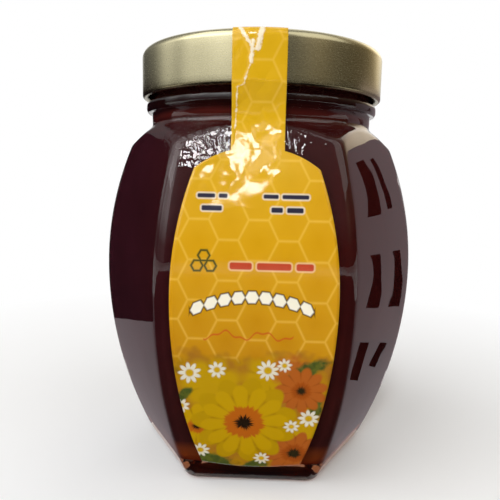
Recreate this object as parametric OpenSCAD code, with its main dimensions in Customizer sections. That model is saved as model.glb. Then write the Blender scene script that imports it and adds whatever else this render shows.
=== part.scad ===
// Six-sided honey jar with a twist-off lid and a one-piece front label.
// Z points up, the base stands on Z = 0 around the origin, and the labelled side faces -Y.

/* [Glass body] */
// Width across two opposite sides at the widest line
body_flats = 77.8; // [72:0.1:96]
// Height of the widest line above the base
belly_height = 51.2; // [38:0.1:60]
// Radius of the sides' bulge below the widest line
lower_curve = 119.5; // [90:0.5:140]
// Radius of the sides' bulge above the widest line
upper_curve = 99; // [85:0.5:140]
// How far each upright corner is rounded back from its sharp edge
corner_cut = 0.5; // [0.3:0.1:1]
// Rounding where the sides turn under to the base
heel_round = 2.4; // [1:0.1:3]
// Thickness of the glass wall
wall = 2.5; // [1.8:0.1:3.6]
// Thickness of the glass under the honey
floor_thickness = 6; // [4:0.1:8]
// Rounding inside, between the wall and the floor
floor_round = 4; // [2:0.1:6]
// Width of the flat foot that the jar stands on
foot_width = 5.5; // [3:0.1:8]
// Depth of the hollow inside the foot
punt_depth = 1.5; // [0.5:0.1:2.5]

/* [Shoulder and neck] */
// Diameter of the neck
neck_d = 60.8; // [50:0.1:66]
// How far the sides stay outside the neck where they meet the shoulder
shoulder_step = 0.15; // [0.1:0.05:0.5]
// Slope of the shoulder below level, in degrees
shoulder_slope = 35; // [32:0.5:44]
// Rounding where the shoulder turns down into the upright corners
shoulder_round = 4; // [2:0.5:6]
// Rounding between the shoulder and the neck
neck_round = 1.2; // [0.5:0.1:1.6]
// Length of plain neck between the shoulder and the bead
waist_length = 3.6; // [2.8:0.1:8]
// Height of the bead from edge to edge
bead_width = 3; // [2:0.1:4]
// How far the bead stands out of the neck
bead_stand = 1.55; // [1:0.05:2]
// Gap between the bead and the lid
bead_gap = 1; // [1:0.1:4]
// Rounding of the rim
rim_round = 1; // [0.4:0.1:1.2]

/* [Honey] */
// Depth of the air between the rim and the honey
headspace = 10; // [6:0.5:14]

/* [Lid] */
// Height of the lid's side
lid_height = 12.5; // [10:0.1:15]
// Space between the neck and the lid's side, where the threads are
thread_room = 2.4; // [2:0.05:3]
// Rounding of the lid's top edge
lid_edge = 2.1; // [1:0.1:2.4]
// Thickness of the lid's sheet metal
lid_sheet = 0.2; // [0.15:0.05:0.4]
// Diameter of the rolled lower edge
curl_d = 1.5; // [1:0.1:1.7]
// Width of the raised ring around the lid's sunk panel
ring_width = 5; // [4:0.1:6]
// Depth of the sunk panel
panel_depth = 0.8; // [0.4:0.1:0.8]
// Thickness of the sealing ring between the lid and the rim
seal_thickness = 0.9; // [0.6:0.1:1.5]

/* [Label] */
// Glass left bare on each side of the label at its widest line
label_margin = 3.3; // [1.5:0.1:6]
// Height of the label's widest line above the body's
label_lift = -1; // [-6:0.1:6]
// Height of the label's lower edge above the heel's rounding
label_foot = 3.1; // [1:0.1:6]
// How much higher the lower edge is at its ends
label_bow = 1.3; // [0:0.1:2]
// Radius of the label's sides below its widest line
label_lower_curve = 141; // [130:1:220]
// Radius of the label's sides above its widest line
label_upper_curve = 91; // [62:1:100]
// Depth of the label's shoulder corners below the start of the neck
label_drop = 11.2; // [9:0.1:14]
// Slope of the label's shoulders, in degrees
label_slope = 27; // [20:1:32]
// How far the label's shoulders bulge out of a straight slope
label_bulge = 0.5; // [0:0.1:1]
// Width of the strip that seals the lid
strip_w = 12.3; // [8:0.1:16]
// Depth below the start of the neck where the strip lifts off the glass
strip_lift_off = 4; // [3:0.1:6]
// Length of the strip on the flat top of the lid
strip_reach = 14; // [10:0.5:20]
// Thickness of the label
label_thickness = 0.2; // [0.1:0.05:0.4]
// Thickness of the adhesive under the label
glue = 0.06; // [0.05:0.01:0.1]

/* [Hidden] */

$fn = 120;
sides = 6;
half_flats = body_flats / 2;
reach = 2 * body_flats;                        // longer than any part of the body

neck_r = neck_d / 2;
bore_r = neck_r - wall;
lid_r = neck_r + thread_room + lid_sheet;
ring_r = lid_r - ring_width;

neck_height = rise_to(neck_r + shoulder_step); // where the sides have come in to the neck
bead_height = neck_height + waist_length + bead_width / 2;
lid_bottom = bead_height + bead_width / 2 + bead_gap;
lid_top = lid_bottom + lid_height;
rim_height = lid_top - lid_sheet - seal_thickness;
honey_level = rim_height - headspace;

label_belly = belly_height + label_lift;
label_bottom = heel_round + label_foot;
label_shoulder = neck_height - label_drop;
lift_off_height = neck_height - strip_lift_off;
strip_half = strip_w / 2;
strip_start = label_shoulder + (label_half(label_shoulder) - strip_half) * tan(label_slope);

// How many flat steps stand for each curve
lower_steps = 8;
upper_steps = 7;
round_steps = 5;
label_rows = 20;
label_columns = 10;

// ---- Outlines ---------------------------------------------------------------------------

// Points on an arc about a centre, from one angle to another
function arc(centre, r, from, to, steps = round_steps) =
    [for (i = [0:steps]) let (a = from + (to - from) * i / steps) centre + r * [cos(a), sin(a)]];

// Points between two values, both included
function spread(from, to, steps) = [for (i = [0:steps]) from + (to - from) * i / steps];

// Distance of a side from the jar's axis at a height
function side_at(z) =
    let (curve = z < belly_height ? lower_curve : upper_curve)
    half_flats - curve + sqrt(pow(curve, 2) - pow(z - belly_height, 2));

// Height above the widest line at which a side has come in to a distance from the axis
function rise_to(r) =
    belly_height + sqrt(pow(upper_curve, 2) - pow(upper_curve - half_flats + r, 2));

// Angle by which a side faces upwards at a height, negative where it faces down
function tilt_at(z) = asin((z - belly_height) / (z < belly_height ? lower_curve : upper_curve));

// Distance of an upright corner from the axis, for a side at a given distance
function corner_r(side) = side / cos(180 / sides) - corner_cut;

// Height of the shoulder's cone at a distance from the axis
function cone_at(r) = neck_height - (r - neck_r) * tan(shoulder_slope);

// Height at which the upright corners meet the shoulder's cone, found by closing in on it
function corner_top(z = neck_height, tries = 12) =
    tries == 0 ? z : corner_top(cone_at(corner_r(side_at(z))), tries - 1);

// Points between two values, shifted on by a share of a step, the last one left out
function steps_from(from, to, steps, shift) =
    [for (i = [0:steps - 1]) from + (to - from) * (i + shift) / steps];

// Outline of one side from the bottom up, moved in, with its lower edge rounded. A shift of
// half a step gives points in between those of the plain outline.
function side_outline(inset, bottom, round, shift = 0) =
    let (tilt = tilt_at(bottom),
         heel = [side_at(bottom) - inset - round * tan(45 + tilt / 2), bottom + round],
         skip = shift * (90 + tilt) / round_steps,
         heights = concat(steps_from(0, belly_height, lower_steps, shift),
                          steps_from(belly_height, neck_height, upper_steps, shift)))
    concat(arc(heel, round, skip - 90, tilt - skip, round_steps - 2 * shift),
           [for (z = heights) if (z > bottom + round) [side_at(z) - inset, z]]);

// Outline of the body seen along two opposite sides, left open above the shoulder
module body_outline(inset, bottom, round) {
    half = concat(side_outline(inset, bottom, round),
                  [[side_at(neck_height) - inset, neck_height], [reach, neck_height], [reach, reach]]);
    polygon(concat(half, [for (i = [len(half) - 1:-1:0]) [-half[i].x, half[i].y]]));
}

// A six-sided barrel, made where three outlines that run in three directions meet
module barrel(inset, bottom, round) {
    intersection_for(i = [0:sides / 2 - 1])
        rotate([0, 0, 90 + i * 360 / sides])
            rotate([90, 0, 0])
                linear_extrude(height = 2 * reach, center = true)
                    body_outline(inset, bottom, round);
}

// ---- Glass ------------------------------------------------------------------------------

// Outline, from the axis, of the round form that rounds the corners and makes the neck
function round_outline() =
    let (top = corner_top(),
         corner = [corner_r(side_at(top)), top],
         from = tilt_at(top),
         to = 90 - shoulder_slope,
         middle = (from + to) / 2,
         away = shoulder_round / cos((to - from) / 2),
         shoulder_centre = corner - away * [cos(middle), sin(middle)],
         shoulder = arc(shoulder_centre, shoulder_round, from, to),
         fillet_centre = [neck_r, neck_height] + neck_round * [1, tan(45 - shoulder_slope / 2)])
    concat([[0, 0], [corner_r(side_outline(0, 0, heel_round)[0].x), 0]],
           [for (p = side_outline(0, 0, heel_round, 0.5)) if (p.y < shoulder[0].y - 1) [corner_r(p.x), p.y]],
           shoulder,
           arc(fillet_centre, neck_round, 270 - shoulder_slope, 180),
           [for (a = spread(-90, 90, 2 * round_steps))
               [neck_r + bead_stand * cos(a), bead_height + bead_width / 2 * sin(a)]],
           arc([neck_r - rim_round, rim_height - rim_round], rim_round, 0, 90),
           [[0, rim_height]]);

// Space inside the glass, open at the top
module cavity() {
    inner_cone = wall / cos(shoulder_slope);
    intersection() {
        barrel(wall, floor_thickness, floor_round);
        rotate_extrude()
            polygon([
                [0, 0],
                [neck_r + (neck_height - inner_cone) / tan(shoulder_slope), 0],
                [bore_r, cone_at(bore_r) - inner_cone],
                [bore_r, rim_height + reach],
                [0, rim_height + reach]
            ]);
    }
}

module jar() {
    foot_r = side_at(0) - heel_round * tan(45 + tilt_at(0) / 2) - foot_width;
    color("#8a5a48", 0.45)
        difference() {
            intersection() {
                barrel(0, 0, heel_round);
                rotate_extrude() polygon(round_outline());
            }
            cavity();
            cylinder(r1 = foot_r, r2 = foot_r - 2 * punt_depth, h = punt_depth);
        }
}

// ---- Honey ------------------------------------------------------------------------------

module honey() {
    color("#4a1410")
        intersection() {
            cavity();
            cylinder(r = reach, h = honey_level);
        }
}

// ---- Lid --------------------------------------------------------------------------------

// Outline of the lid's outer face, moved in, from the rolled edge up and in to the axis
function lid_outline(inset) =
    concat([[lid_r - inset, lid_bottom + curl_d / 2]],
           arc([lid_r - lid_edge, lid_top - lid_edge], lid_edge - inset, 0, 90),
           [[ring_r, lid_top - inset]],
           [for (r = [ring_r - panel_depth, 0]) [r, lid_top - panel_depth - inset]]);

module lid() {
    curl_r = curl_d / 2;
    outside = lid_outline(0);
    inside = lid_outline(lid_sheet);
    curl = arc([lid_r - curl_r, lid_bottom + curl_r], curl_r, acos(1 - lid_sheet / curl_r), 360, 12);
    color("#b3a578")
        rotate_extrude() {
            polygon(concat([for (i = [len(inside) - 1:-1:1]) inside[i]], curl, outside));
            translate([ring_r, rim_height]) square([neck_r - ring_r, seal_thickness]);
        }
}

// ---- Label ------------------------------------------------------------------------------

// Half the label's width at a height on the glass, up to its shoulders
function label_half(z) =
    let (curve = z < label_belly ? label_lower_curve : label_upper_curve,
         widest = half_flats * tan(180 / sides) - label_margin)
    widest - curve + sqrt(pow(curve, 2) - pow(z - label_belly, 2));

// A row across the label on the glass: its distance from the jar's axis, its height, the
// angle by which it faces upwards, how far it bends round the axis from 0 to 1, and half
// its width
function glass_row(half, z) = [side_at(z), z, tilt_at(z), 0, half];

// Half width and height on the label's shoulders, from the corner up to the strip
function shoulder_point(t) =
    let (corner = [label_half(label_shoulder), label_shoulder])
    corner + t * ([strip_half, strip_start] - corner)
    + 4 * t * (1 - t) * label_bulge * [sin(label_slope), cos(label_slope)];

// Rows on the glass from the bowed lower edge up, for a place across the label
function glass_rows(across) =
    concat([for (z = spread(label_bottom, label_shoulder, label_rows))
               let (share = max(0, label_belly - z) / (label_belly - label_bottom),
                    bowed = z + share * label_bow * pow(across, 2))
               glass_row(label_half(bowed), bowed)],
           [for (t = spread(0.25, 1, 3)) let (p = shoulder_point(t)) glass_row(p[0], p[1])],
           [glass_row(strip_half, lift_off_height)]);

// Rows from where the strip leaves the glass, over the bead, up and over the lid
function strip_rows() =
    let (start = [side_at(lift_off_height), lift_off_height],
         bead = [neck_r + bead_stand, bead_height],
         tilt = tilt_at(lift_off_height),
         turn = start + (bead.y - start.y) / 2 * [-sin(tilt), cos(tilt)],
         edge = lid_outline(0),
         panel_row = len(edge) - 2)
    concat([for (t = [0.25, 0.5, 0.75, 1])
               let (p = pow(1 - t, 2) * start + 2 * t * (1 - t) * turn + pow(t, 2) * bead,
                    d = (1 - t) * (turn - start) + t * (bead - turn))
               [p.x, p.y, atan2(-d.x, d.y), t / 2, strip_half]],
           [for (i = [0:panel_row])
               [edge[i].x, edge[i].y, 90 * min(1, max(0, i - 1) / round_steps), 1, strip_half]],
           [[lid_r - strip_reach, edge[panel_row].y, 90, 0, strip_half]]);

// A point of the label on a row, from -1 to 1 across it, lifted off what it is stuck on
function label_point(row, across, lift) =
    let (r = row[0], x = across * row[4], bend = row[3] * asin(x / r))
    [x, row[3] * (r - sqrt(r * r - x * x)) - r, row[1]]
    + lift * [cos(row[2]) * sin(bend), -cos(row[2]) * cos(bend), sin(row[2])];

// One face of the label, row by row
function label_face(lift) =
    let (columns = spread(-1, 1, label_columns),
         rows = [for (u = columns) concat(glass_rows(u), strip_rows())])
    [for (i = [0:len(rows[0]) - 1], k = [0:label_columns]) label_point(rows[k][i], columns[k], lift)];

module label() {
    back = label_face(glue);
    front = label_face(glue + label_thickness);
    across = label_columns + 1;
    n = len(back);
    last = n - across;
    rim = concat([for (i = [0:across - 1]) i],
                 [for (i = [2 * across - 1:across:n - 1]) i],
                 [for (i = [n - 2:-1:last]) i],
                 [for (i = [last - across:-across:across]) i]);
    color("#e9ab16")
        polyhedron(
            points = concat(back, front),
            faces = concat(
                [for (row = [0:across:last - 1], i = [row:row + across - 2], half = [0, 1])
                    half == 0 ? [i, i + 1, i + across] : [i + 1, i + across + 1, i + across]],
                [for (row = [0:across:last - 1], i = [row:row + across - 2], half = [0, 1])
                    half == 0 ? [n + i, n + i + across, n + i + 1]
                              : [n + i + 1, n + i + across, n + i + across + 1]],
                [for (k = [0:len(rim) - 1], half = [0, 1])
                    let (a = rim[k], b = rim[(k + 1) % len(rim)])
                    half == 0 ? [a, n + a, b] : [b, n + a, n + b]]));
}

jar();
honey();
lid();
label();
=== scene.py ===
"""Looks of the honey jar: smooth glass, honey, lid and printed label, made around its solids.

Lengths are in millimetres until a mesh is made, and Z is the jar's axis. The label faces -Y.
"""
import functools
import math

import bpy
import numpy as np
from mathutils import Matrix, Vector


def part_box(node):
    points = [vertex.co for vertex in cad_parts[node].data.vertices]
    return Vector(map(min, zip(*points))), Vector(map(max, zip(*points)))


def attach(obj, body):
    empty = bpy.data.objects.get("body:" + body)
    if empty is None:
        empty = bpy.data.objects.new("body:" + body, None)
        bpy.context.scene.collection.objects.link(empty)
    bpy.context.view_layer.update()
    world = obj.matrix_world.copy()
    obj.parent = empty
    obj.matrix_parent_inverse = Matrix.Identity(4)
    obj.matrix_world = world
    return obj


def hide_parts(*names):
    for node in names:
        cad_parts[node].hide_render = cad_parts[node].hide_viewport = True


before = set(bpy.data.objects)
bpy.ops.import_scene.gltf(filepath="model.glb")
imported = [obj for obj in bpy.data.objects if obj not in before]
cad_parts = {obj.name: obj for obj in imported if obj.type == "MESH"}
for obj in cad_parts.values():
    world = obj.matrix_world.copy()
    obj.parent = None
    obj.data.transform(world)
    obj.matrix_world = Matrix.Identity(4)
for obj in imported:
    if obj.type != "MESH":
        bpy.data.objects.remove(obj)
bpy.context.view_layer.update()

MM = 0.001

# ---- Sizes ------------------------------------------------------------------------------


def box_mm(node):
    """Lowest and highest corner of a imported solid, in millimetres."""
    return [[value / MM for value in corner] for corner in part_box(node)]


_, (_, half_flats, rim_height) = box_mm("jar")
(_, _, floor_height), (_, _, honey_level) = box_mm("honey")
(_, _, lid_bottom), (lid_r, _, lid_top) = box_mm("lid")

# Glass body: the six sides bulge on two arcs that meet at the widest line
SIDES = 6
BELLY_HEIGHT = 51.2
LOWER_CURVE = 119.5
UPPER_CURVE = 99.0
CORNER_RADIUS = 3.7
INNER_CORNER_RADIUS = 1.4
HEEL_ROUND = 2.4
WALL = 2.5
FLOOR_ROUND = 4.0
FOOT_WIDTH = 5.5
PUNT_DEPTH = 1.5
PUNT_SLOPE = 4.0

# Shoulder, neck and bead
NECK_R = 30.4
BORE_R = NECK_R - WALL
SHOULDER_STEP = 0.15
SHOULDER_HEIGHT = 16.0
SHOULDER_SLOPE = math.radians(35)
SHOULDER_BLEND = 0.9
NECK_BLEND = 1.0
WAIST_LENGTH = 3.6
BEAD_WIDTH = 3.0
BEAD_STAND = 1.55
RIM_ROUND = 1.0

# Honey: it reaches this far into the glass, and climbs a little where it wets the wall
HONEY_OVERLAP = 0.15
MENISCUS = 0.7
MENISCUS_WIDTH = 4.0

# Steps along a side, round a corner, up the sides, up the shoulder and round the heel
OUTER_DETAIL = (30, 8, 44, 48, 10)
INNER_DETAIL = (30, 8, 24, 30, 8)
HONEY_DETAIL = (16, 6, 24, 30, 8)

# Lid
LID_SHEET = 0.2
LID_EDGE = 2.1
CURL_R = 0.75
RING_WIDTH = 5.0
PANEL_DEPTH = 0.8
PANEL_SLOPE = 0.6
SEAL_GAP = 0.02
SEAL_WIDTH = 0.8
LID_SEGMENTS = 256
SPINE_RADIUS = 10.0
MERGE_DISTANCE = 0.002

# Label
LABEL_MARGIN = 3.3
LABEL_LIFT = -1.0
LABEL_FOOT = 3.1
LABEL_BOW = 1.3
LABEL_LOWER_CURVE = 141.0
LABEL_UPPER_CURVE = 91.0
LABEL_DROP = 11.2
LABEL_SLOPE = math.radians(27)
LABEL_BULGE = 0.5
STRIP_HALF = 6.15
STRIP_LIFT_OFF = 4.0
STRIP_REACH = 14.0
LABEL_THICKNESS = 0.15
GLUE = 0.07


def side_at(z):
    """Distance of a side from the axis at a height."""
    curve = LOWER_CURVE if z < BELLY_HEIGHT else UPPER_CURVE
    return half_flats - curve + math.sqrt(curve ** 2 - (z - BELLY_HEIGHT) ** 2)


def tilt_at(z):
    """Angle by which a side faces upwards at a height."""
    return math.asin((z - BELLY_HEIGHT) / (LOWER_CURVE if z < BELLY_HEIGHT else UPPER_CURVE))


neck_height = BELLY_HEIGHT + math.sqrt(
    UPPER_CURVE ** 2 - (UPPER_CURVE - half_flats + NECK_R + SHOULDER_STEP) ** 2)
bead_height = neck_height + WAIST_LENGTH + BEAD_WIDTH / 2

# ---- Mesh helpers -----------------------------------------------------------------------


def smooth_min(a, b, blend):
    """The smaller of two values, rounded over a blend where they are near each other."""
    share = np.clip(0.5 + 0.5 * (b - a) / blend, 0, 1)
    return b + (a - b) * share - blend * share * (1 - share)


def smooth_max(a, b, blend):
    return -smooth_min(-a, -b, blend)


def spread(start, stop, steps):
    """Values from start to stop, both included."""
    return list(np.linspace(start, stop, steps + 1))


def arc(centre, radius, start, stop, steps):
    """Points on an arc about a centre, by angles in degrees."""
    angles = np.radians(spread(start, stop, steps))
    return [(centre[0] + radius * math.cos(a), centre[1] + radius * math.sin(a)) for a in angles]


def ease(start, stop, steps):
    """Points on a smooth step between two levels."""
    return [(start[0] + (stop[0] - start[0]) * t,
             start[1] + (stop[1] - start[1]) * (1 - math.cos(math.pi * t)) / 2)
            for t in spread(0, 1, steps)]


def mesh_object(name, points, faces, smooth=True):
    """A piece from points in millimetres."""
    mesh = bpy.data.meshes.new(name)
    mesh.from_pydata([tuple(MM * value for value in point) for point in points], [], faces)
    mesh.shade_smooth() if smooth else mesh.shade_flat()
    piece = bpy.data.objects.new(name, mesh)
    bpy.context.scene.collection.objects.link(piece)
    return piece


def skin(name, rings):
    """A closed skin over rings of points, from a pole on the axis to a pole on the axis."""
    count = len(rings[1])
    points = [rings[0][0]]
    for ring in rings[1:-1]:
        points.extend(tuple(point) for point in ring)
    points.append(rings[-1][0])
    last = len(points) - 1
    faces = []
    for i in range(count):
        j = (i + 1) % count
        faces.append((0, 1 + j, 1 + i))
        for row in range(len(rings) - 3):
            a = 1 + row * count
            faces.append((a + i, a + j, a + count + j, a + count + i))
        top = 1 + (len(rings) - 3) * count
        faces.append((top + i, top + j, last))
    return mesh_object(name, points, faces)


def pole(z):
    return [(0.0, 0.0, z)]


# ---- Glass ------------------------------------------------------------------------------


def hexagon(side, corner, flat_steps, corner_steps):
    """Points round a hexagon with rounded corners, from the distance of its sides."""
    half = (side - corner) * math.tan(math.pi / SIDES)
    along = np.array(spread(-half, half, flat_steps))
    flat = np.stack([along, np.full(len(along), -side)], axis=1)
    turns = np.radians(spread(-90, -30, corner_steps))[1:-1]
    centre = np.array([half, corner - side])
    bend = centre + corner * np.stack([np.cos(turns), np.sin(turns)], axis=1)
    one_side = np.concatenate([flat, bend])
    ring = []
    for i in range(SIDES):
        a = 2 * math.pi * i / SIDES
        turn = np.array([[math.cos(a), math.sin(a)], [-math.sin(a), math.cos(a)]])
        ring.append(one_side @ turn)
    return np.concatenate(ring)


def limited(ring, limit, blend):
    """A ring drawn in to a distance from the axis where it would reach past it."""
    r = np.hypot(ring[:, 0], ring[:, 1])
    return ring * (smooth_min(r, np.full(len(r), limit), blend) / r)[:, None]


def at_height(ring, z):
    return np.column_stack([ring, np.full(len(ring), z)])


def circle_like(ring, radius):
    """A circle whose points lie in the same directions as those of a ring."""
    return ring * (radius / np.hypot(ring[:, 0], ring[:, 1]))[:, None]


def shoulder_limit(z, radius, drop):
    """Distance from the axis of the shoulder's cone, which runs into the neck."""
    cone = radius + (neck_height - drop - z) / math.tan(SHOULDER_SLOPE)
    return smooth_max(cone, radius, NECK_BLEND)


def body_rings(inset, bottom, heel, corner, detail):
    """Rings of the body from its lower edge up into the neck, moved in by an inset."""
    flat_steps, corner_steps, side_rows, shoulder_rows, heel_rows = detail
    tilt = tilt_at(bottom)
    heel_centre = (side_at(bottom) - inset - heel * math.tan(math.pi / 4 + tilt / 2), bottom + heel)
    outline = arc(heel_centre, heel, -90, math.degrees(tilt), heel_rows)
    shoulder_foot = neck_height - SHOULDER_HEIGHT
    heights = spread(outline[-1][1], shoulder_foot, side_rows)[1:]
    heights += spread(shoulder_foot, neck_height + NECK_BLEND, shoulder_rows)[1:]
    outline += [(side_at(z) - inset, z) for z in heights]
    neck = NECK_R if inset == 0 else NECK_R - WALL
    drop = inset / math.cos(SHOULDER_SLOPE) - inset * math.tan(SHOULDER_SLOPE)
    rings = []
    for side, z in outline:
        ring = hexagon(side, corner, flat_steps, corner_steps)
        limit = float(shoulder_limit(z, neck, drop if inset else 0))
        rings.append(at_height(limited(ring, limit, SHOULDER_BLEND), z))
    return rings


def neck_profile():
    """Distance and height of points up the outside of the neck, over the rim and down the bore."""
    power = 2 / 3
    bead = []
    for a in np.radians(spread(-90, 90, 24)):
        rise = math.copysign(abs(math.sin(a)) ** power, a)
        stand = max(math.cos(a), 0) ** power
        bead.append((NECK_R + BEAD_STAND * stand, bead_height + BEAD_WIDTH / 2 * rise))
    outer_rim = arc((NECK_R - RIM_ROUND, rim_height - RIM_ROUND), RIM_ROUND, 0, 90, 6)
    inner_rim = arc((BORE_R + RIM_ROUND, rim_height - RIM_ROUND), RIM_ROUND, 90, 180, 6)
    return bead + outer_rim + inner_rim


def glass_body():
    outer = body_rings(0, 0, HEEL_ROUND, CORNER_RADIUS, OUTER_DETAIL)
    inner = body_rings(WALL, floor_height, FLOOR_ROUND, INNER_CORNER_RADIUS, INNER_DETAIL)
    base = outer[0][:, :2]
    foot_r = float(-base[:, 1].min()) - FOOT_WIDTH
    rings = [pole(PUNT_DEPTH)]
    punt_r = foot_r - PUNT_SLOPE
    for r, z in [(foot_r * 0.4, PUNT_DEPTH), *ease((punt_r, PUNT_DEPTH), (foot_r, 0), 10)]:
        rings.append(at_height(circle_like(base, r), z))
    for t in (0.35, 0.7, 0.95):
        rings.append(at_height(circle_like(base, foot_r) * (1 - t) + base * t, 0))
    rings += outer
    rings += [at_height(circle_like(base, r), z) for r, z in neck_profile()]
    rings += inner[::-1]
    floor = inner[0][:, :2]
    rings += [at_height(floor * t, floor_height) for t in (0.95, 0.6, 0.3)]
    rings.append(pole(floor_height))
    return skin("glass_body", rings)


# ---- Honey ------------------------------------------------------------------------------


def honey_fill():
    inset = WALL - HONEY_OVERLAP
    bottom = floor_height - HONEY_OVERLAP
    sides = body_rings(inset, bottom, FLOOR_ROUND, INNER_CORNER_RADIUS, HONEY_DETAIL)
    floor = sides[0][:, :2]
    rings = [pole(bottom)]
    rings += [at_height(floor * t, bottom) for t in (0.3, 0.6, 0.95)]
    rings += sides
    top_r = NECK_R - inset
    neck_foot = sides[-1][0][2] + 0.1
    for z in spread(neck_foot, honey_level + MENISCUS, 4):
        rings.append(at_height(circle_like(floor, top_r), z))
    for t in spread(0, 1, 8)[1:]:
        r = top_r - MENISCUS_WIDTH * t
        rings.append(at_height(circle_like(floor, r), honey_level + MENISCUS * (1 - t) ** 2))
    rings += [at_height(circle_like(floor, top_r * t), honey_level) for t in (0.6, 0.3)]
    rings.append(pole(honey_level))
    return skin("honey_fill", rings)


# ---- Nodes ------------------------------------------------------------------------------


def linear(code):
    """An sRGB hex colour as linear RGBA."""
    values = [int(code[i:i + 2], 16) / 255 for i in (1, 3, 5)]
    return [v / 12.92 if v <= 0.04045 else ((v + 0.055) / 1.055) ** 2.4 for v in values] + [1.0]


def add(tree, kind, settings=None, inputs=None):
    """A node with its settings and links, given back as its outputs by name. An input is a plain
    value, the hex code of a colour, or the field that feeds it."""
    node = tree.nodes.new(kind)
    for name, value in (settings or {}).items():
        setattr(node, name, value)
    for key, value in (inputs or {}).items():
        if isinstance(value, Field):
            tree.links.new(value.socket, node.inputs[key])
        else:
            colour = isinstance(value, str)
            node.inputs[key].default_value = linear(value) if colour else value
    return {socket.name: Field(socket) for socket in node.outputs if socket.enabled}


class Field:
    """A value that varies over a surface. A sum with it is worked out by the nodes it adds."""

    def __init__(self, socket):
        self.socket = socket

    def through(self, operation, *others, clamp=False):
        tree = self.socket.id_data
        return add(tree, "ShaderNodeMath", {"operation": operation, "use_clamp": clamp},
                   dict(enumerate((self, *others))))["Value"]

    def __add__(self, other):
        return self.through("ADD", other)

    def __sub__(self, other):
        return self.through("SUBTRACT", other)

    def __mul__(self, other):
        return self.through("MULTIPLY", other)

    def __abs__(self):
        return self.through("ABSOLUTE")

    def least(self, other):
        return self.through("MINIMUM", other)

    def most(self, other):
        return self.through("MAXIMUM", other)

    def inside(self, blur):
        """1 where a distance is below nought and 0 where it is above, with a soft edge."""
        return self.through("MULTIPLY_ADD", -0.5 / blur, 0.5, clamp=True)

    def between(self, low, high):
        """0 at the low value and 1 at the high one, held beyond them."""
        return self.through("MULTIPLY_ADD", 1 / (high - low), -low / (high - low), clamp=True)


def least_of(fields):
    return functools.reduce(Field.least, fields)


def most_of(fields):
    return functools.reduce(Field.most, fields)


def layered(tree, ground, layers):
    """A ground with colours laid over it in turn. A layer is its mask, 0 to 1, and its colour."""
    for mask, colour in layers:
        ground = add(tree, "ShaderNodeMix", {"data_type": "RGBA"},
                     {0: mask, 6: ground, 7: colour})["Result"]
    return ground


def new_material(name):
    material = bpy.data.materials.new(name)
    material.use_nodes = True
    material.node_tree.nodes.clear()
    return material, material.node_tree


# ---- Glass, honey and lid finishes ------------------------------------------------------

# Places in these materials are in metres, as the mesh is
RELIEF_UNIT = 0.1 * MM
FOOT_CORNER = 0.0155


def jar_glass():
    """Clear soda-lime glass, blown in a mould: fire-polished, with a soft waviness that bends what
    it mirrors, and a rougher skin where the mould closes on the shoulder. Its thick foot is tinted
    amber as a painted glow of the honey's light, though the glass itself is clear. Rays from the
    lamps pass it, so that the honey is lit as evenly as behind real glass."""
    material, tree = new_material("moulded_soda_lime_glass")
    place = add(tree, "ShaderNodeTexCoord")["Object"]
    x, _, z = add(tree, "ShaderNodeSeparateXYZ", None, {0: place}).values()
    wave = add(tree, "ShaderNodeTexNoise", None, {
        "Vector": place, "Scale": 1 / (16 * MM), "Detail": 1.0})["Fac"]
    mould_skin = add(tree, "ShaderNodeTexNoise", None, {
        "Vector": place, "Scale": 1 / (1.7 * MM), "Roughness": 0.6})["Fac"].between(0.36, 0.62)
    shoulder = z.between(0.0795, 0.0845) * z.between(0.0925, 0.0895)
    shoulder = shoulder * x.between(-0.024, -0.017) * x.between(0.018, -0.004)
    bump = add(tree, "ShaderNodeBump", None, {
        "Distance": RELIEF_UNIT, "Height": wave * 1.2 + mould_skin * shoulder * 1.15})["Normal"]
    # Painted glow: the clear foot is tinted amber to show the honey's light through it
    foot = z.between(0.0105, 0.006)
    glass = add(tree, "ShaderNodeBsdfPrincipled", None, {
        "Base Color": layered(tree, "#f6f1ee", [(foot, "#8c5334")]), "Roughness": 0.02,
        "IOR": 1.52, "Transmission Weight": 1.0, "Normal": bump})["BSDF"]
    clear = add(tree, "ShaderNodeBsdfTransparent", None, {"Color": "#e6dcd8"})["BSDF"]
    lamp_ray = add(tree, "ShaderNodeLightPath")["Is Shadow Ray"]
    surface = add(tree, "ShaderNodeMixShader", None, {0: lamp_ray, 1: glass, 2: clear})["Shader"]
    add(tree, "ShaderNodeOutputMaterial", None, {"Surface": surface})
    return material


def dark_honey():
    """Dark forest honey behind glass: all but black in its depth, with light painted on it: painted
    wine red towards the light from the side and at the neck, a painted glow over the glass floor,
    painted amber glints in the thin corners at the foot and a painted shade under the lid. With
    glass against it, it has no shine of its own."""
    material, tree = new_material("dark_honey")
    place = add(tree, "ShaderNodeTexCoord")["Object"]
    x, _, z = add(tree, "ShaderNodeSeparateXYZ", None, {0: place}).values()
    cloud = add(tree, "ShaderNodeTexNoise", None, {"Vector": place, "Scale": 1 / (18 * MM)})["Fac"]
    # Mask for the painted amber glints in the corners at the foot
    corner_glint_mask = abs(abs(x) - FOOT_CORNER).between(0.009, 0.002)
    colour = layered(tree, "#371413", [
        (x.between(-0.008, 0.02), "#3a1210"),               # painted light, redder towards the right
        (x.between(-0.014, -0.03) * 0.9, "#3a1620"),        # towards the left
        (z.between(0.045, 0.02) * 0.5, "#3c1c19"),          # towards the foot
        (z.between(0.088, 0.093), "#5c221c"),               # painted glow of light in the neck
        (z.between(0.0935, 0.0955) * 0.85, "#180908"),      # in the shade of the lid
        (cloud.between(0.35, 0.75) * 0.5, "#2a0d0f"),
        (z.between(0.009, 0.0062), "#6d3026"),              # painted glow over the glass floor
        # painted amber glints in the corners at the foot
        (z.between(0.0125, 0.006) * corner_glint_mask * 0.85, "#a8521c")])
    honey = add(tree, "ShaderNodeBsdfPrincipled", None, {
        "Base Color": colour, "Roughness": 0.3, "IOR": 1.02})["BSDF"]
    add(tree, "ShaderNodeOutputMaterial", None, {"Surface": honey})
    return material


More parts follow.
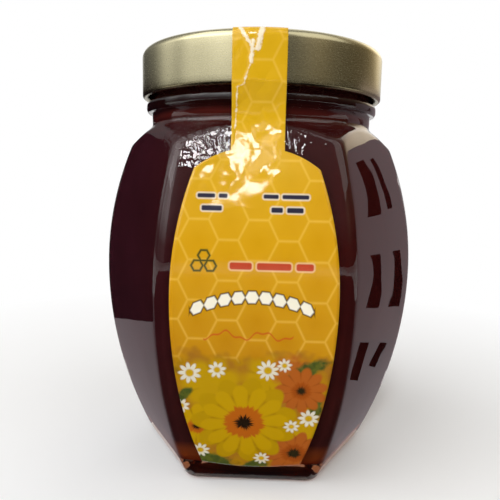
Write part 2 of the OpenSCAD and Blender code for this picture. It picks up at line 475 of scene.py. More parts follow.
def lid_lacquer():
    """Tinplate with a champagne-gold lacquer: satin metal that was rolled, so that its grain runs
    round the lid, and drawn in a press, so that the light on it wavers. The grain is drawn
    coarser than it is, to show."""
    material, tree = new_material("gold_lacquered_tinplate")
    place = add(tree, "ShaderNodeTexCoord")["Object"]
    z = add(tree, "ShaderNodeSeparateXYZ", None, {0: place})["Z"]
    round_lid = add(tree, "ShaderNodeMapping", None, {0: place, "Scale": (1, 1, 9)})["Vector"]
    grain = add(tree, "ShaderNodeTexNoise", None, {
        "Vector": round_lid, "Scale": 1 / (1.8 * MM), "Detail": 3.0, "Roughness": 0.6})["Fac"]
    wave = add(tree, "ShaderNodeTexNoise", None, {
        "Vector": place, "Scale": 1 / (12 * MM), "Detail": 1.0})["Fac"]
    bump = add(tree, "ShaderNodeBump", None, {
        "Distance": RELIEF_UNIT, "Height": wave + grain * 0.003})["Normal"]
    # The curl at the lid's lower edge is painted darker: a painted shade under the lid
    colour = layered(tree, "#c8c09b", [
        (grain.between(0.3, 0.7), "#cdc5a1"), (z.between(0.0998, 0.0992), "#8d8466")])
    metal = add(tree, "ShaderNodeBsdfPrincipled", None, {
        "Base Color": colour, "Metallic": 1.0, "Roughness": grain * 0.04 + 0.25,
        "Normal": bump})["BSDF"]
    add(tree, "ShaderNodeOutputMaterial", None, {"Surface": metal})
    return material


# ---- Printed label ----------------------------------------------------------------------

# The print is laid out in millimetres across the label and up along it, from the widest line
UV_SPAN = 150.0
UV_ORIGIN = (75.0, 50.0)

# Honeycomb behind the print: width and height of a cell, where one starts, width of its line
CELL_PITCH = (6.7, 9.1)
CELL_START = (0.7, -0.8)
CELL_LINE = 0.42

# Bars by their left, right, middle height and half height, and how far their corners are round
WEIGHT_BARS = ((-13.2, -9.2, 22.7, 0.5), (-8.4, -6.4, 22.7, 0.5), (-12.2, -7.6, 19.9, 0.6),
               (1.6, 5.0, 22.7, 0.5), (5.8, 11.8, 22.7, 0.5), (3.4, 6.0, 19.7, 0.6),
               (6.9, 10.6, 19.7, 0.6))
WEIGHT_CORNER = 0.35
RED_BARS = ((-5.6, -0.6, 7.1, 0.8), (0.5, 8.2, 7.1, 0.8), (9.3, 13.2, 7.1, 0.8))
RED_CORNER = 0.5

# Emblem of outlined cells: their middles and half their height
EMBLEM = ((-12.9, 7.0), (-9.9, 7.0), (-11.4, 9.3))
EMBLEM_CELL = 1.15

# Row of white cells: half its length, its middle, how it arches, half its pitch and cell height
ARCH_HALF = 13.9
ARCH_MIDDLE = -0.4
ARCH_CURVE = 0.0165
ARCH_PITCH = 1.55
ARCH_CELL = 1.32

# Flowers by their centre, radius, petals and turn. The tones are those of the petals, their
# gaps, the ring and the heart, and the last pair is how far the ring and the heart reach.
YELLOW = ("#bb9400", "#926604", "#b05210", "#22160a")
ORANGE = ("#ab5a1c", "#843f14", "#96460f", "#2b2410")
PALE_YELLOW = ("#b79004", "#987206")
PALE_ORANGE = ("#ab5e1e", "#8e5418")
FAR_FLOWERS = (((-9.5, -21.5), 7.0, 7, 0.3, PALE_YELLOW), ((3.5, -19.0), 5.5, 6, 0.9, PALE_YELLOW),
               ((13.5, -35.5), 5.5, 7, 0.5, PALE_YELLOW), ((9.0, -17.5), 4.6, 6, 0.2, PALE_ORANGE))
FAR_BLUR = 1.1
FLOWERS = (((11.5, -22.5), 6.2, 11, 0.4, ORANGE, (2.2, 1.0)),
           ((-13.2, -33.5), 6.6, 9, 1.1, YELLOW, (2.3, 1.0)),
           ((10.6, -41.5), 7.4, 12, 0.2, ORANGE, (3.0, 1.5)),
           ((-1.8, -32.0), 12.8, 11, 0.2, ("#b08a00", "#8c6404")),
           ((-1.8, -32.0), 10.6, 12, 0.9, YELLOW, (4.7, 1.9)))
DAISIES = (((-14.6, -18.6), 2.7, 9, 0.0), ((-8.2, -17.6), 2.1, 8, 0.6),
           ((3.6, -17.4), 2.6, 10, 0.3), ((7.4, -16.0), 1.7, 8, 1.0),
           ((13.6, -30.2), 2.5, 9, 0.2), ((9.6, -32.8), 1.9, 8, 0.9),
           ((-12.6, -41.4), 2.3, 9, 0.5), ((2.6, -43.6), 2.0, 9, 0.1),
           ((-16.8, -27.6), 2.0, 8, 0.4))

# Leaves by their centre, half their size and their lean
LEAVES = (((12.8, -17.0), (4.6, 1.7), 0.5), ((-9.6, -44.6), (5.2, 2.2), -0.35),
          ((-16.0, -24.5), (2.4, 1.2), 0.9), ((15.0, -26.5), (1.5, 3.4), 0.1),
          ((1.0, -46.0), (3.0, 1.6), 0.2))

# Each fold of the strip: its start, its end and half its width
CREASES = (((-5.0, 61.6), (-1.9, 56.8), 0.35), ((0.6, 61.2), (-0.5, 56.2), 0.55),
           ((-1.5, 57.6), (-1.9, 53.4), 0.42), ((-2.0, 53.2), (-3.4, 48.6), 0.06),
           ((-4.9, 48.0), (-5.3, 38.5), 0.05), ((-3.4, 48.6), (-4.9, 48.0), 0.05))


def bar_distance(x, y, bar, corner):
    """Distance from a bar with round corners."""
    left, right, middle, half = bar
    out_x = (abs(x - (left + right) / 2) - ((right - left) / 2 - corner)).most(0)
    out_y = (abs(y - middle) - (half - corner)).most(0)
    return (out_x * out_x + out_y * out_y).through("SQRT") - corner


def cell_reach(dx, dy):
    """Reach from the middle of a six-sided cell that stands on a side, level with its sides."""
    return dy.most(dx * math.cos(math.pi / 6) + dy * 0.5)


def comb_reach(x, y):
    """Reach from the middle of the nearest cell of the honeycomb."""
    pitch_x, pitch_y = CELL_PITCH
    squeeze = pitch_y * math.cos(math.pi / 6) / pitch_x
    cells = []
    for shift in (0, 1):
        start_x = CELL_START[0] + shift * pitch_x
        start_y = CELL_START[1] + (0.5 + shift * 0.5) * pitch_y
        dx = (x - start_x).through("WRAP", pitch_x, -pitch_x) * squeeze
        dy = (y - start_y).through("WRAP", pitch_y / 2, -pitch_y / 2)
        cells.append(cell_reach(abs(dx), abs(dy)))
    return least_of(cells)


def crease_distance(x, y, start, end, half_width):
    """Distance from a fold that runs straight from its start to its end."""
    dx, dy = x - start[0], y - start[1]
    run = (end[0] - start[0], end[1] - start[1])
    square = run[0] ** 2 + run[1] ** 2
    share = (dx * (run[0] / square) + dy * (run[1] / square)).most(0).least(1)
    away = (dx - share * run[0]).through("POWER", 2) + (dy - share * run[1]).through("POWER", 2)
    return away.through("SQRT") - half_width


def polar(x, y, centre):
    """Distance from a centre, and angle about it."""
    dx, dy = x - centre[0], y - centre[1]
    return (dx * dx + dy * dy).through("SQRT"), dy.through("ARCTAN2", dx)


def blossom(tree, x, y, centre, radius, petals, turn, tones, eye=None, blur=0.35):
    """Layers of a round flower: lobed petals with darker gaps, a ring and a dark heart."""
    r, angle = polar(x, y, centre)
    lobe = abs((angle * (petals / 2) + turn).through("SINE"))
    whole = (r - (lobe * (radius * 0.24) + radius * 0.76)).inside(blur)
    gap = lobe.between(0.42, 0.0) * r.between(radius * 0.35, radius * 0.7)
    layers = [(whole, tones[0]), (whole * gap * 0.7, tones[1])]
    if eye:
        rays = add(tree, "ShaderNodeCombineXYZ", None, {0: angle * 6, 1: r * 0.12})["Vector"]
        streak = add(tree, "ShaderNodeTexNoise", None, {
            "Vector": rays, "Scale": 1.0, "Detail": 1.0})["Fac"]
        ring = r - (streak - 0.5) * (eye[0] * 0.7)
        layers.append(((ring - eye[0]).inside(0.4) * 0.9, tones[2]))
        layers.append(((ring - eye[1]).inside(0.35), tones[3]))
    return layers


def daisy(x, y, centre, radius, petals, turn):
    """Layers of a small white blossom with a yellow eye."""
    r, angle = polar(x, y, centre)
    lobe = abs((angle * (petals / 2) + turn).through("SINE"))
    tips = r - (lobe * (radius * 0.5) + radius * 0.5)
    return [(tips.inside(0.25), "#d8d2c0"), ((r - radius * 0.36).inside(0.2), "#c29a12")]


def leaf(x, y, centre, half, lean, ragged):
    """Mask of an oval leaf with a ragged edge."""
    dx, dy = x - centre[0], y - centre[1]
    along = (dx * math.cos(lean) + dy * math.sin(lean)) * (1 / half[0])
    away = (dy * math.cos(lean) - dx * math.sin(lean)) * (1 / half[1])
    reach = (along * along + away * away).through("SQRT")
    return (reach + ragged * 0.9 - 1.0).inside(0.22) * 0.92


def meadow(tree, x, y):
    """Layers of the flower band at the label's foot, soft where it runs into the amber above."""
    place = add(tree, "ShaderNodeCombineXYZ", None, {0: x, 1: y})["Vector"]
    drift = add(tree, "ShaderNodeTexNoise", None, {"Vector": place, "Scale": 1 / 5.0})["Fac"]
    fine = add(tree, "ShaderNodeTexNoise", None, {"Vector": place, "Scale": 1 / 1.6})["Fac"]
    band = (y + 14.0 + (drift - 0.5) * -9.0).inside(1.1)
    ground = [(drift.between(0.42, 0.6), "#a06c1c"), (drift.between(0.42, 0.34) * 0.7, "#6d5a14")]
    for flower in FAR_FLOWERS:
        ground += blossom(tree, x, y, *flower, blur=FAR_BLUR)
    green = layered(tree, "#2f4a20", [(fine.between(0.4, 0.6), "#4d5c22")])
    layers = [(band, layered(tree, "#ab7c08", ground))]
    layers += [(leaf(x, y, *place, fine - 0.5), green) for place in LEAVES]
    for flower in FLOWERS:
        layers += blossom(tree, x, y, *flower)
    for flower in DAISIES:
        layers += daisy(x, y, *flower)
    return layers


def printed_signs(x, y):
    """Layers of the plain shapes above the flowers."""
    weight = least_of([bar_distance(x, y, bar, WEIGHT_CORNER) for bar in WEIGHT_BARS])
    red = least_of([bar_distance(x, y, bar, RED_CORNER) for bar in RED_BARS])
    emblem = least_of([cell_reach(abs(x - middle_x), abs(y - middle_y)) - EMBLEM_CELL
                      for middle_x, middle_y in EMBLEM])
    along = x - ARCH_MIDDLE
    arch = y + x * x * ARCH_CURVE
    row = cell_reach(abs(along.through("WRAP", ARCH_PITCH, -ARCH_PITCH)), abs(arch - 0.1))
    row = (row - ARCH_CELL).most(abs(along) - ARCH_HALF)
    swing = (x * 0.72).through("SINE") * 0.85 + (x * 1.9 + 0.6).through("SINE") * 0.35
    thread = (abs(y - swing + 8.9) - 0.16).most(abs(x + 1.1) - 10.2)
    return [((weight - 0.28).inside(0.2) * 0.85, "#e9dfcf"), (weight.inside(0.15), "#2c2a3c"),
            ((abs(emblem) - 0.24).inside(0.16), "#4a4a1c"),
            ((red - 0.3).inside(0.2) * 0.8, "#ecc59c"), (red.inside(0.15), "#b9401f"),
            ((row - 0.32).inside(0.16), "#4c3414"), (row.inside(0.16), "#f2ecd8"),
            (thread.inside(0.2) * 0.9, "#c1401a")]


def label_film():
    """Glossy polypropylene film, printed from behind: saturated amber under a clear face, painted
    darker towards the flowers and lighter towards the shoulder as painted shade and light. It
    crumples and lifts a little where it is bent at the shoulder and over the lid's edge, and has a
    painted highlight along the folds that it took when it was pressed over the lid."""
    material, tree = new_material("printed_polypropylene_film")
    sheet = add(tree, "ShaderNodeUVMap", {"uv_map": "sheet"})["UV"]
    place = add(tree, "ShaderNodeMapping", None, {
        0: sheet, "Location": (-UV_ORIGIN[0], -UV_ORIGIN[1], 0),
        "Scale": (UV_SPAN, UV_SPAN, 1)})["Vector"]
    x, y, _ = add(tree, "ShaderNodeSeparateXYZ", None, {0: place}).values()
    ragged, creased, folds, drift = (
        add(tree, "ShaderNodeTexNoise", None, {
            "Vector": place, "Scale": 1 / size, "Detail": detail, "Roughness": roughness})["Fac"]
        for size, detail, roughness in
        ((0.9, 2.0, 0.7), (3.6, 1.6, 0.5), (5.5, 2.0, 0.5), (6.0, 1.0, 0.4)))
    cell = comb_reach(x, y)
    cell_line = (abs(cell - CELL_PITCH[1] / 2) - CELL_LINE / 2).inside(0.28)
    fold = least_of([crease_distance(x, y, *crease) for crease in CREASES])
    colour = layered(tree, "#ca920a", [
        (y.between(4.0, -14.0), "#b67b06"),                 # painted shade, darker down to the flowers
        (y.between(4.0, 30.0) * 0.8, "#d3a619"),            # painted light, lighter up to the shoulder
        (y.between(33.0, 38.0) * 0.8, "#d5a712"),           # the strip
        (x.between(4.0, 17.0) * 0.4, "#c68d0c"),            # to the right
        (cell.between(0.0, 4.2) * 0.18, "#e6b22a"),
        (cell_line * 0.5, "#edc250"),
        *meadow(tree, x, y), *printed_signs(x, y),
        # painted highlight: pale along the folds
        ((fold + (ragged - 0.5) * 1.1).inside(0.16) * 0.85, "#f6ecd4")])

    bend = y.between(24.0, 31.0) * y.between(41.0, 34.0) * x.between(9.0, 1.0)
    top_edge = y.between(50.0, 54.0) * y.between(68.0, 64.0) * x.between(1.5, -1.0)
    crumple = bend.most(top_edge * 0.8).most(0.05)
    drift = drift - 0.5
    across, up = x + drift * 12.0 - y * 0.16, y + drift * 5.0
    blister = up.between(20.0, 33.0) * y.between(58.0, 36.0)
    blister = blister * across.between(-19.0, -11.0) * across.between(-0.5, -6.5)
    relief = (creased - abs(folds - 0.5) * 1.2) * crumple + fold.inside(0.5) * 0.7 - blister * 5.0
    bump = add(tree, "ShaderNodeBump", None, {"Distance": 0.22 * MM, "Height": relief})["Normal"]
    film = add(tree, "ShaderNodeBsdfPrincipled", None, {
        "Base Color": colour, "Roughness": 0.13, "IOR": 1.49, "Normal": bump})["BSDF"]
    add(tree, "ShaderNodeOutputMaterial", None, {"Surface": film})
    return material


# ---- Lid --------------------------------------------------------------------------------


def lid_outline():
    """Outline of the lid's sheet from the axis on top, out and down, round the curl and back."""
    ring_r = lid_r - RING_WIDTH
    panel_r = ring_r - PANEL_DEPTH
    edge = (lid_r - LID_EDGE, lid_top - LID_EDGE)
    curl = (lid_r - CURL_R, lid_bottom + CURL_R)
    outside = [(0, lid_top - PANEL_DEPTH), (panel_r - 6, lid_top - PANEL_DEPTH)]
    outside += ease((panel_r - PANEL_SLOPE, lid_top - PANEL_DEPTH),
                    (ring_r + PANEL_SLOPE, lid_top), 12)
    outside += arc(edge, LID_EDGE, 90, 0, 16)
    outside += [(lid_r, z) for z in spread(lid_top - LID_EDGE, curl[1], 6)[1:]]
    outside += arc(curl, CURL_R, 0, -230, 24)[1:]
    inner_r = lid_r - LID_SHEET
    inside = [(inner_r - 0.4, curl[1] + CURL_R + 0.6), (inner_r, curl[1] + CURL_R + 1.2)]
    inside += arc(edge, LID_EDGE - LID_SHEET, 0, 90, 10)
    seal = rim_height + SEAL_GAP
    under = [(NECK_R, lid_top - LID_SHEET), (NECK_R, seal), (ring_r + SEAL_WIDTH, seal),
             (ring_r + SEAL_WIDTH, lid_top - LID_SHEET)]
    under += ease((ring_r + PANEL_SLOPE, lid_top - LID_SHEET),
                  (panel_r - PANEL_SLOPE, lid_top - PANEL_DEPTH - LID_SHEET), 10)
    return outside + inside + under + [(0, lid_top - PANEL_DEPTH - LID_SHEET)]


def lathe_tree():
    """Geometry Nodes that turn an outline round the Z axis into a closed solid."""
    tree = bpy.data.node_groups.new("Turned sheet metal", "GeometryNodeTree")
    sockets = tree.interface
    sockets.new_socket("Outline", in_out="INPUT", socket_type="NodeSocketGeometry")
    sockets.new_socket("Segments", in_out="INPUT", socket_type="NodeSocketInt")
    sockets.new_socket("Spine radius", in_out="INPUT", socket_type="NodeSocketFloat")
    sockets.new_socket("Material", in_out="INPUT", socket_type="NodeSocketMaterial")
    sockets.new_socket("Geometry", in_out="OUTPUT", socket_type="NodeSocketGeometry")
    given = add(tree, "NodeGroupInput")
    spine = add(tree, "GeometryNodeCurvePrimitiveCircle", None, {
        "Resolution": given["Segments"], "Radius": given["Spine radius"]})["Curve"]
    upright_spine = add(tree, "GeometryNodeSetCurveNormal", {"mode": "Z_UP"}, {0: spine})["Curve"]
    outline = add(tree, "GeometryNodeMeshToCurve", None, {0: given["Outline"]})["Curve"]
    turned = add(tree, "GeometryNodeCurveToMesh", None, {
        "Curve": upright_spine, "Profile Curve": outline})["Mesh"]
    closed = add(tree, "GeometryNodeMergeByDistance", None, {
        0: turned, "Distance": MERGE_DISTANCE * MM})["Geometry"]
    whole = add(tree, "GeometryNodeRealizeInstances", None, {0: closed})["Geometry"]
    finished = add(tree, "GeometryNodeSetMaterial", None, {
        "Geometry": whole, "Material": given["Material"]})["Geometry"]
    add(tree, "NodeGroupOutput", None, {0: finished})
    return tree


def turned_piece(name, outline, segments, material):
    """A piece turned from an outline of distances and heights by the lathe tree."""
    points = [((r - SPINE_RADIUS) * MM, -z * MM, 0) for r, z in outline]
    source_mesh = bpy.data.meshes.new(name + "_outline")
    source_mesh.from_pydata(points, [(i, i + 1) for i in range(len(points) - 1)], [])
    source = bpy.data.objects.new(name + "_outline", source_mesh)
    bpy.context.scene.collection.objects.link(source)
    tree = lathe_tree()
    modifier = source.modifiers.new("Lathe", "NODES")
    modifier.node_group = tree
    values = {"Segments": segments, "Spine radius": SPINE_RADIUS * MM, "Material": material}
    for item in tree.interface.items_tree:
        if item.name in values:
            modifier[item.identifier] = values[item.name]
    evaluated = source.evaluated_get(bpy.context.evaluated_depsgraph_get())
    mesh = bpy.data.meshes.new_from_object(evaluated)
    mesh.name = name
    bpy.data.objects.remove(source)
    piece = bpy.data.objects.new(name, mesh)
    bpy.context.scene.collection.objects.link(piece)
    mesh.shade_smooth()
    return piece


# ---- Label ------------------------------------------------------------------------------

label_belly = BELLY_HEIGHT + LABEL_LIFT
label_bottom = HEEL_ROUND + LABEL_FOOT
label_shoulder = neck_height - LABEL_DROP
lift_off_height = neck_height - STRIP_LIFT_OFF


def label_half(z):
    """Half the label's width at a height, up to its shoulders."""
    curve = LABEL_LOWER_CURVE if z < label_belly else LABEL_UPPER_CURVE
    widest = half_flats * math.tan(math.pi / SIDES) - LABEL_MARGIN
    return widest - curve + math.sqrt(curve ** 2 - (z - label_belly) ** 2)


strip_start = label_shoulder + (label_half(label_shoulder) - STRIP_HALF) * math.tan(LABEL_SLOPE)


def label_rows():
    """Rows up the label: distance, height, upward angle, bend round the axis, half width."""
    rows = [(side_at(z), z, tilt_at(z), 0.0, label_half(z))
            for z in spread(label_bottom, label_shoulder, 150)]
    corner = np.array([label_half(label_shoulder), label_shoulder])
    end = np.array([STRIP_HALF, strip_start])
    out = LABEL_BULGE * np.array([math.sin(LABEL_SLOPE), math.cos(LABEL_SLOPE)])
    for t in spread(0, 1, 16)[1:]:
        half, z = corner + t * (end - corner) + 4 * t * (1 - t) * out
        rows.append((side_at(z), z, tilt_at(z), 0.0, half))
    rows += [(side_at(z), z, tilt_at(z), 0.0, STRIP_HALF)
             for z in spread(strip_start, lift_off_height, 6)[1:]]
    start = np.array([side_at(lift_off_height), lift_off_height])
    bead = np.array([NECK_R + BEAD_STAND, bead_height])
    tilt = tilt_at(lift_off_height)
    turn = start + (bead[1] - start[1]) / 2 * np.array([-math.sin(tilt), math.cos(tilt)])
    for t in spread(0, 1, 16)[1:]:
        p = (1 - t) ** 2 * start + 2 * t * (1 - t) * turn + t ** 2 * bead
        d = (1 - t) * (turn - start) + t * (bead - turn)
        rows.append((p[0], p[1], math.atan2(-d[0], d[1]), t / 2, STRIP_HALF))
    side_foot = np.array([lid_r, lid_bottom + CURL_R])
    lean = math.atan2(bead[0] - side_foot[0], side_foot[1] - bead[1])
    for t in spread(0, 1, 8)[1:-1]:
        p = bead + t * (side_foot - bead)
        rows.append((p[0], p[1], lean, 0.5 + t / 2, STRIP_HALF))
    side_top = lid_top - LID_EDGE
    rows += [(lid_r, z, 0.0, 1.0, STRIP_HALF) for z in spread(side_foot[1], side_top, 18)]
    rows += [(r, z, math.radians(a), 1.0, STRIP_HALF) for (r, z), a in
             zip(arc((lid_r - LID_EDGE, side_top), LID_EDGE, 0, 90, 10), spread(0, 90, 10))][1:]
    ring_r = lid_r - RING_WIDTH
    panel = ease((ring_r + PANEL_SLOPE, lid_top),
                 (ring_r - PANEL_DEPTH - PANEL_SLOPE, lid_top - PANEL_DEPTH), 8)
    rows += [(r, z, math.pi / 2, 1.0, STRIP_HALF) for r, z in panel]
    end_r = lid_r - STRIP_REACH
    panel_r, panel_z = panel[-1]
    rows += [(panel_r + (end_r - panel_r) * t, panel_z, math.pi / 2, 1 - t, STRIP_HALF)
             for t in spread(0, 1, 10)[1:]]
    return rows


def length_at(z):
    """Length up the side from its widest line to a height."""
    return (LOWER_CURVE if z < BELLY_HEIGHT else UPPER_CURVE) * tilt_at(z)


def lengths_up(rows):
    """Length along the label's middle from the widest line of the jar to each row."""
    path = np.array([(row[0], row[1]) for row in rows])
    run = np.concatenate([[0], np.cumsum(np.hypot(*np.diff(path, axis=0).T))])
    return run + length_at(path[0, 1])


def label_point(row, across, lift):
    r, z, tilt, bend, half = row
    x = across * half
    turn = bend * math.asin(x / r)
    return np.array([x, bend * (r - math.sqrt(r * r - x * x)) - r, z]) + lift * np.array(
        [math.cos(tilt) * math.sin(turn), -math.cos(tilt) * math.cos(turn), math.sin(tilt)])


def label_piece():
    """The label as one thin closed sheet, with a UV map that lays it flat."""
    columns = spread(-1, 1, 48)
    rows = label_rows()
    grid = []
    places = []
    for row, length in zip(rows, lengths_up(rows)):
        for across in columns:
            share = max(0, label_belly - row[1]) / (label_belly - label_bottom)
            here = row
            if share:
                z = row[1] + share * LABEL_BOW * across ** 2
                here = (side_at(z), z, tilt_at(z), 0.0, label_half(z))
                length = length_at(z)
            grid.append((here, across))
            place = np.array([across * here[4], length]) + UV_ORIGIN
            places.append(place / UV_SPAN)
    back = [label_point(here, across, GLUE) for here, across in grid]
    front = [label_point(here, across, GLUE + LABEL_THICKNESS) for here, across in grid]
    width = len(columns)
    count = len(back)
    faces = []
    for i in range(len(rows) - 1):
        for k in range(width - 1):
            a = i * width + k
            faces.append((a + 1, a, a + width, a + width + 1))
            faces.append((count + a, count + a + 1, count + a + width + 1, count + a + width))
    rim = list(range(width)) + list(range(2 * width - 1, count, width))
    rim += list(range(count - 2, count - width - 1, -1))
    rim += list(range(count - 2 * width, 0, -width))
    for a, b in zip(rim, rim[1:] + rim[:1]):
        faces.append((a, b, count + b, count + a))
    piece = mesh_object("front_label", back + front, faces)
    sheet = piece.data.uv_layers.new(name="sheet")
    for loop in piece.data.loops:
        sheet.data[loop.index].uv = places[loop.vertex_index % count]
    return piece


# ---- Assembly ---------------------------------------------------------------------------


def dress(piece, node, material=None):
    if material:
        piece.data.materials.clear()
        piece.data.materials.append(material)
    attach(piece, "root")
    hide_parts(node)


dress(glass_body(), "jar", jar_glass())
dress(honey_fill(), "honey", dark_honey())
dress(turned_piece("twist_off_lid", lid_outline(), LID_SEGMENTS, lid_lacquer()), "lid")
dress(label_piece(), "label", label_film())

# ---- Studio -----------------------------------------------------------------------------

# Brightness of the room by the direction from the jar, in degrees from the front to the right
WALLS = ((-180, 0.9), (-160, 0.8), (-148, 0.15), (-120, 0.26), (-108, 0.6), (-96, 1.55), (-80, 0.7),
         (-68, 1.7), (-56, 1.5), (-38, 1.85), (-24, 2.0), (-16, 0.4), (-8, 0.15), (25, 0.15),
         (50, 0.36), (76, 0.14), (110, 0.2), (128, 0.6), (142, 2.3), (160, 2.1), (180, 0.9))
WALLS_MOST = 2.0
CEILING = 0.28

# How far round from the front, in radians, the jar mirrors the white backdrop
BACKDROP_FADE = (2.6, 2.8)

# Half the side of the sheet on the floor in millimetres. In metres, the distance over which it
# turns from plain to brightly lit, and how far to the sides the jar mirrors it as lit.
FLOOR_HALF = 3000
FLOOR_FADE = (0.055, 0.21)
FLOOR_FRONT = (0.4, 0.2)

# Mat round the foot: distance of its inner sides, reach at the sides and how much more in front
MAT_INNER = 28.6
MAT_REACH = 240
MAT_FRONT = 560
MAT_STEP = 10
MAT_HEIGHT = 0.5

# Lamps: azimuth and elevation in degrees, width and height in metres, and radiance
LAMPS = (("window", -58, 50, 1.0, 1.0, 1.8), ("fill", 60, 48, 1.0, 1.0, 0.9),
         ("ceiling_lamp", -8, 43, 0.2, 0.36, 20.5))
LAMP_DISTANCE = 1.2
LAMP_AIM = 0.06

# Camera: its place in millimetres, its turn in radians, and its lens
CAMERA_PLACE = (2.37, -154.5, 78.17)
YAW, PITCH, ROLL = -0.030, -0.139, 0.021
LENS = 37.93


def studio_floor():
    """A white sweep: plain round the jar, where it takes the shadow, and brightly lit far off."""
    corners = [(x * FLOOR_HALF, y * FLOOR_HALF, 0) for x, y in ((-1, -1), (1, -1), (1, 1), (-1, 1))]
    floor = mesh_object("studio_floor", corners, [(0, 1, 2, 3)], smooth=False)
    material, tree = new_material("white_paper_sweep")
    place = add(tree, "ShaderNodeTexCoord")["Object"]
    x, y, _ = add(tree, "ShaderNodeSeparateXYZ", None, {0: place}).values()
    far = (x * x + y * y).through("SQRT").between(*FLOOR_FADE)
    paper = add(tree, "ShaderNodeBsdfDiffuse", None, {"Color": "#f6f6f6"})["BSDF"]
    lit = add(tree, "ShaderNodeEmission", None, {"Color": "#ffffff", "Strength": 1.0})["Emission"]
    ray = add(tree, "ShaderNodeLightPath")
    mirrored = ray["Is Glossy Ray"] * abs(x).between(*FLOOR_FRONT)
    shown = most_of([ray["Is Camera Ray"], ray["Is Transmission Ray"], mirrored])
    surface = add(tree, "ShaderNodeMixShader", None, {0: far * shown, 1: paper, 2: lit})["Shader"]
    add(tree, "ShaderNodeOutputMaterial", None, {"Surface": surface})
    floor.data.materials.append(material)


def direction(azimuth):
    """Away from the jar, and to the right of that, for an azimuth in degrees from the front."""
    a = math.radians(azimuth)
    return Vector((math.sin(a), -math.cos(a), 0)), Vector((math.cos(a), math.sin(a), 0))


def upright(azimuth, distance, low, high, middle_low, middle_high, half_width):
    """Corners of an upright strip, whose middle may lean from its low end to its high one."""
    away, right = direction(azimuth)
    corners = []
    for height, middle, side in ((low, middle_low, -1), (low, middle_low, 1),
                                 (high, middle_high, 1), (high, middle_high, -1)):
        across = middle + side * half_width
        corners.append(away * distance + right * across + Vector((0, 0, height)))
    return corners


def lying(start, end, half_width, height):
    """Corners of a strip that lies between two points."""
    way = (Vector(end) - Vector(start)).normalized()
    side = Vector((-way.y, way.x)) * half_width
    return [(*(Vector(point) + side * sign), height)
            for point, sign in ((start, -1), (end, -1), (end, 1), (start, 1))]


def mirrored_card(name, strips, code, far_code=None):
    """Matt card for the glass to mirror. Like the lamps it stays out of view, and it takes no
    part in the light itself. The far colour takes over from in front of the jar to its sides."""
    points = [corner for strip in strips for corner in strip]
    faces = [tuple(range(i, i + 4)) for i in range(0, len(points), 4)]
    sheet = mesh_object(name, points, faces, smooth=False)
    material, tree = new_material(name + "_paper")
    place = add(tree, "ShaderNodeTexCoord")["Object"]
    y = add(tree, "ShaderNodeSeparateXYZ", None, {0: place})["Y"]
    colour = layered(tree, code, [(y.between(-0.03, -0.012), far_code or code)])
    glow = add(tree, "ShaderNodeEmission", None, {"Color": colour, "Strength": 1.0})["Emission"]
    add(tree, "ShaderNodeOutputMaterial", None, {"Surface": glow})
    sheet.data.materials.append(material)
    sheet.visible_camera = sheet.visible_diffuse = False
    sheet.visible_shadow = sheet.visible_transmission = False


def mat_corner(azimuth, outer):
    """A corner of the mat on its outer edge, or on its inner one, which follows the jar's foot."""
    to_side = math.radians((azimuth + 30) % 60 - 30)
    reach = MAT_REACH + MAT_FRONT * min(1, max(0, (80 - abs(azimuth)) / 30))
    distance = reach if outer else MAT_INNER / math.cos(to_side)
    return direction(azimuth)[0] * distance + Vector((0, 0, MAT_HEIGHT))


def table_mat():
    """Strips of a mat round the jar's foot, longer in front and open at the back."""
    return [[mat_corner(start, False), mat_corner(start, True),
             mat_corner(start + MAT_STEP, True), mat_corner(start + MAT_STEP, False)]
            for start in range(-150, 150, MAT_STEP)]


def soft_lamp(name, azimuth, elevation, width, height, strength):
    """A soft lamp that faces the jar. Azimuth 0 is in front of the label."""
    a, e = math.radians(azimuth), math.radians(elevation)
    way = Vector((math.sin(a) * math.cos(e), -math.cos(a) * math.cos(e), math.sin(e)))
    light = bpy.data.lights.new(name, "AREA")
    light.shape = "RECTANGLE"
    light.size = width
    light.size_y = height
    light.energy = strength * width * height * math.pi
    lamp = bpy.data.objects.new(name, light)
    lamp.location = Vector((0, 0, LAMP_AIM)) + LAMP_DISTANCE * way
    lamp.rotation_euler = way.to_track_quat("Z", "Y").to_euler()
    bpy.context.scene.collection.objects.link(lamp)


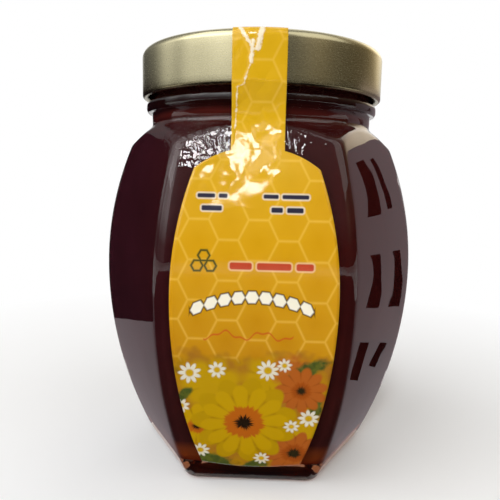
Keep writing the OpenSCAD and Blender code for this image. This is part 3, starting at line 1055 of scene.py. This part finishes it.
def studio_world():
    """A plain room round the jar: a white backdrop behind, a window to the left of the front, pale
    walls to the right, a dark corner to the left behind and a pale ceiling."""
    world = bpy.data.worlds.new("studio")
    world.use_nodes = True
    tree = world.node_tree
    tree.nodes.clear()
    way = add(tree, "ShaderNodeTexCoord")["Generated"]
    x, y, z = add(tree, "ShaderNodeSeparateXYZ", None, {0: way}).values()
    azimuth = x.through("ARCTAN2", y * -1)
    walls = add(tree, "ShaderNodeValToRGB", None, {0: azimuth * (0.5 / math.pi) + 0.5})["Color"]
    ramp = walls.socket.node.color_ramp
    ramp.interpolation = "EASE"
    while len(ramp.elements) < len(WALLS):
        ramp.elements.new(0.5)
    for element, (degrees, level) in zip(ramp.elements, WALLS):
        element.position = 0.5 + degrees / 360
        element.color = (*[level / WALLS_MOST] * 3, 1)
    up = z.between(0.45, 0.8)
    low = z.between(0.1, 0.3) * 0.85 + 0.15
    level = walls * WALLS_MOST * low * (up * -1 + 1) + up * CEILING
    tone = layered(tree, "#ffffff", [(x.between(0.2, 0.8), "#f7dfb4")])
    room = add(tree, "ShaderNodeBackground", None, {"Color": tone, "Strength": level})["Background"]
    white = add(tree, "ShaderNodeBackground", None, {
        "Color": "#ffffff", "Strength": 1.0})["Background"]
    ray = add(tree, "ShaderNodeLightPath")
    mirrored = ray["Is Glossy Ray"] * abs(azimuth).between(*BACKDROP_FADE)
    shown = most_of([mirrored, ray["Is Camera Ray"], ray["Is Transmission Ray"]])
    surface = add(tree, "ShaderNodeMixShader", None, {0: shown, 1: room, 2: white})["Shader"]
    add(tree, "ShaderNodeOutputWorld", None, {"Surface": surface})
    bpy.context.scene.world = world


def camera():
    """A near camera, a little above the middle of the jar and looking slightly down."""
    flat = math.cos(PITCH)
    forward = Vector((math.sin(YAW) * flat, math.cos(YAW) * flat, math.sin(PITCH)))
    level = Vector((math.cos(YAW), -math.sin(YAW), 0))
    up = level.cross(forward)
    right = math.cos(ROLL) * level + math.sin(ROLL) * up
    top = -math.sin(ROLL) * level + math.cos(ROLL) * up
    data = bpy.data.cameras.new("camera")
    data.lens = LENS
    data.clip_start = 10 * MM
    view = bpy.data.objects.new("camera", data)
    turn = Matrix((right, top, -forward)).transposed()
    view.matrix_world = Matrix.Translation(Vector(CAMERA_PLACE) * MM) @ turn.to_4x4()
    bpy.context.scene.collection.objects.link(view)
    bpy.context.scene.camera = view


studio_floor()
studio_world()
mirrored_card("table_mat", table_mat(), "#262122", "#9a9094")
mirrored_card("black_card", [upright(-120, 134, 0, 122, 0, 0, 65)], "#1c1219")
mirrored_card("grey_crate", [upright(119, 110, 0, 116, 0, 0, 60)], "#a09295")
mirrored_card("crate_slots", [
    upright(119, 109.5, 74, 107, -14.6, -5.9, 2.4), upright(119, 109.5, 76, 106, -7.0, -1.0, 1.3),
    upright(119, 109.5, 20, 52, -14.1, -17.3, 2.4), upright(119, 109.5, 20, 52, -3.9, -8.1, 1.9),
    lying((62, 11.5), (98, 42), 2.6, 0.8), lying((70, 28), (92, 50), 1.8, 0.8)], "#080405")
for lamp_values in LAMPS:
    soft_lamp(*lamp_values)
camera()
bpy.context.scene.view_settings.view_transform = "Standard"
